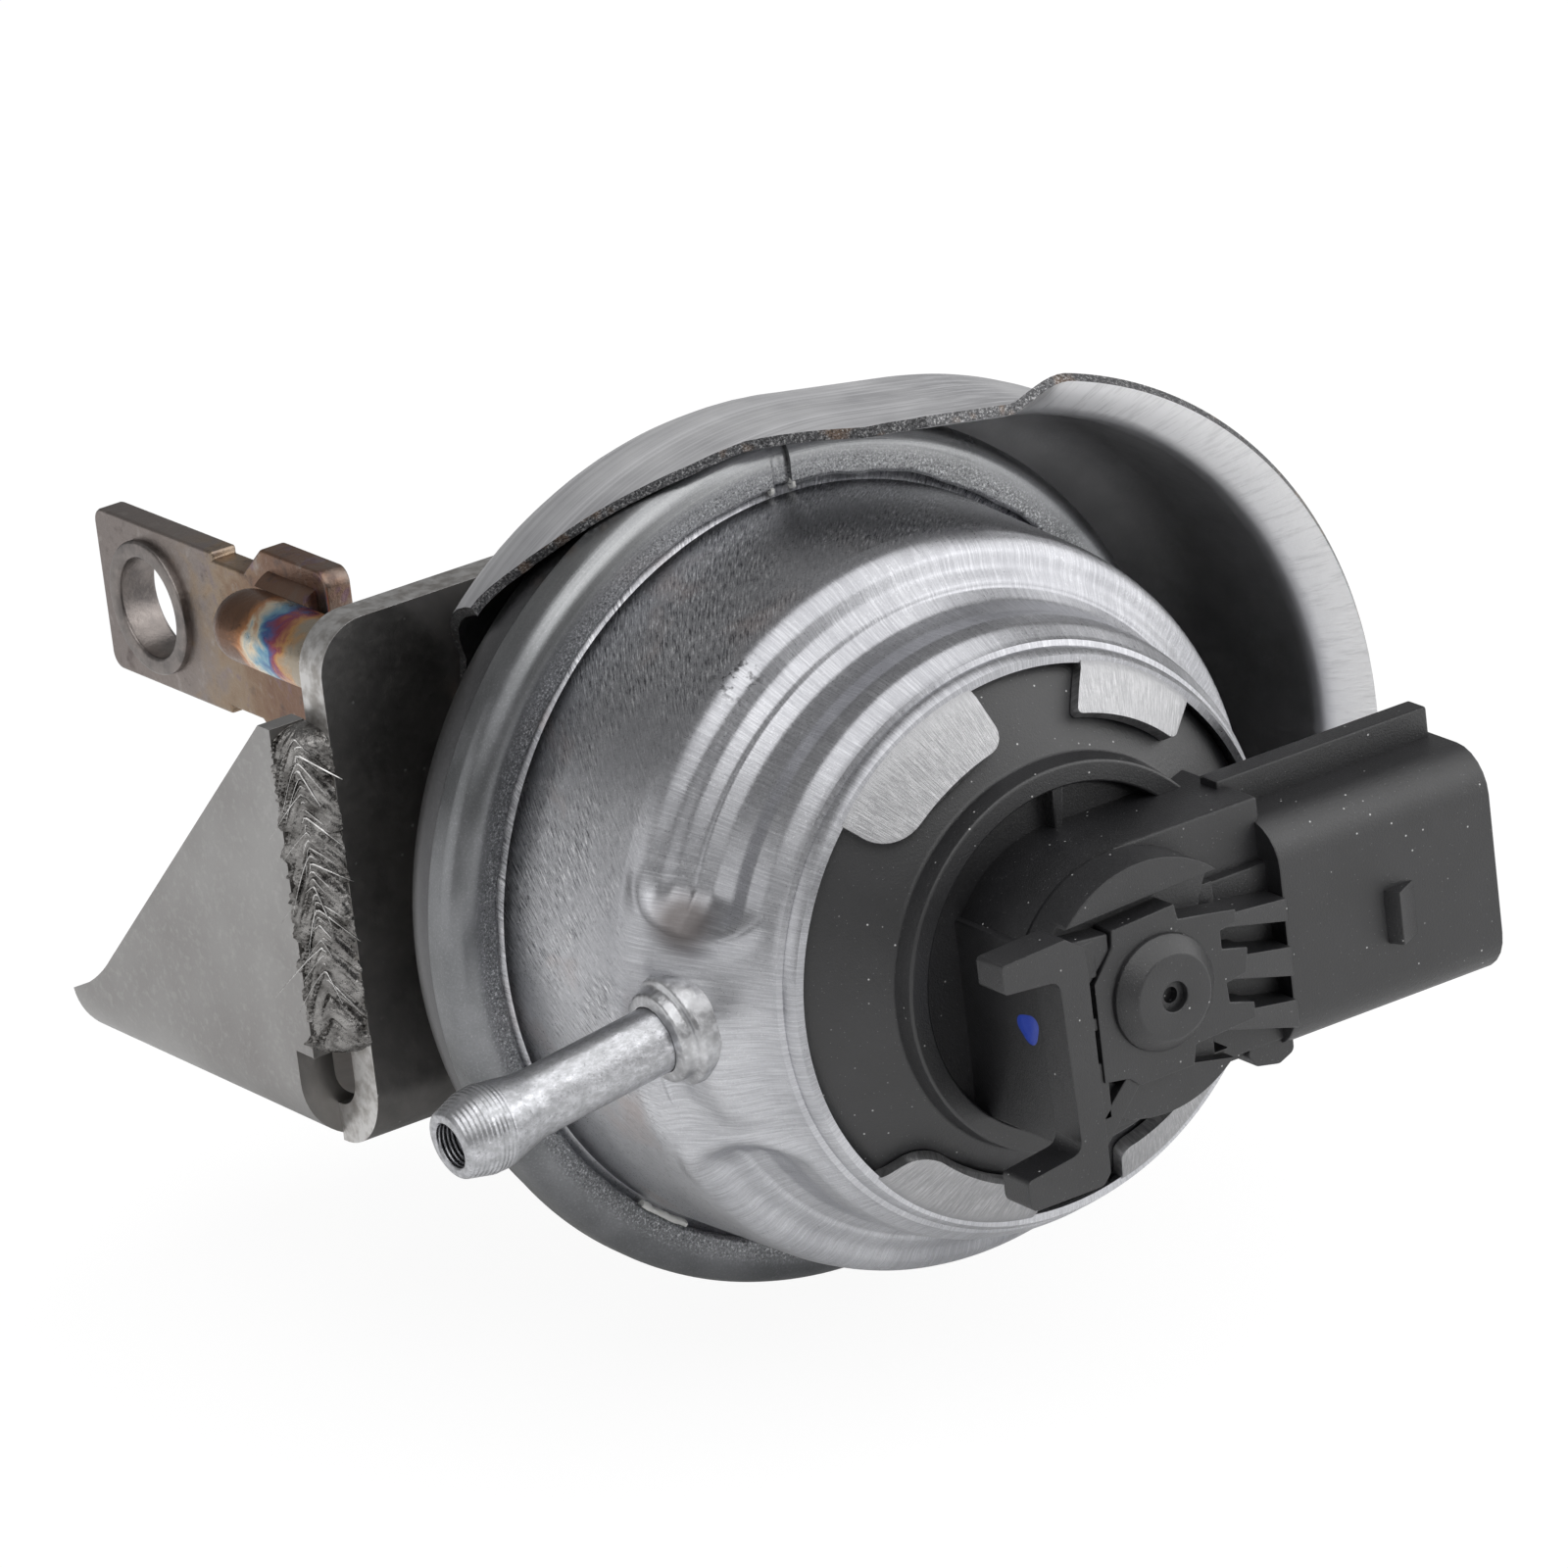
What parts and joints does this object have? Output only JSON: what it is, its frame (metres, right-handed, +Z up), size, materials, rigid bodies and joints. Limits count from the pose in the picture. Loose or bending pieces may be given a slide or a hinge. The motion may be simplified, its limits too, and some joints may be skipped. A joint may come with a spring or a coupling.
{
  "type": "wastegate actuator",
  "caption": "Vacuum wastegate actuator: a steel canister with a position sensor in front, a flared heat shield and a folded bracket behind, and a rod ending in a flat link.",
  "frame": {"origin": "centre of the two bolt holes, on the underside of the bracket's base flange", "axes": "+Y along the rod, from the sensor to the link; +Z up, away from the base flange; +X towards the connector"},
  "size_m": [0.0908, 0.149, 0.0671],
  "materials": {
    "can_steel": "satin zinc plate",
    "rear_steel": "smooth satin",
    "ring_steel": "grainy satin",
    "shield_steel": "satin, brushed lip",
    "bracket_steel": "mill scale",
    "weld_metal": "rippled bead",
    "fastener_steel": "zinc plate",
    "nipple_steel": "mottled zinc",
    "solder": "cast, mottled",
    "sensor_plastic": "fine moulded texture",
    "seal_rubber": "matt",
    "board": "matt",
    "pin_brass": "tinned",
    "magnet": "sintered",
    "spring_steel": "drawn wire",
    "inner_steel": "zinc plate",
    "rod_steel": "drawn, heat tinted",
    "link_steel": "heat tinted",
    "bush_bronze": "sintered"
  },
  "bodies": {
    "housing": {"upper_can": "can_steel", "lower_can": "rear_steel", "crimp_ring": "ring_steel", "heat_shield": "shield_steel", "mounting_bracket": "bracket_steel", "bracket_weld": "weld_metal", "can_stud_left": "fastener_steel", "can_stud_right": "fastener_steel", "can_nut_left": "fastener_steel", "can_nut_right": "fastener_steel", "vacuum_nipple": "nipple_steel", "nipple_collar": "solder", "sensor_housing": "sensor_plastic", "sensor_seal": "seal_rubber", "sensor_board": "board", "terminal_upper": "pin_brass", "terminal_middle": "pin_brass", "terminal_lower": "pin_brass", "rod_guide_bush": "bush_bronze", "rod_wiper": "seal_rubber", "diaphragm": "seal_rubber", "return_spring": "spring_steel", "plunger_spring": "spring_steel"},
    "rod": {"actuator_rod": "rod_steel", "backing_washer": "fastener_steel", "piston_cup": "inner_steel", "rod_nut": "fastener_steel", "sensor_plunger": "sensor_plastic", "sensor_magnet": "magnet", "link_plate": "link_steel", "link_eyelet": "link_steel", "link_weld_upper": "weld_metal", "link_weld_lower": "weld_metal"}
  },
  "joints": [
    {"name": "rod_slide", "type": "slide", "parent": "housing", "child": "rod", "axis": [0, -1, 0], "range_m": [0, 0.012], "stiffness_N_per_m": 2200, "springref_m": -0.012, "deforming": ["return_spring", "plunger_spring", "diaphragm"]}
  ]
}
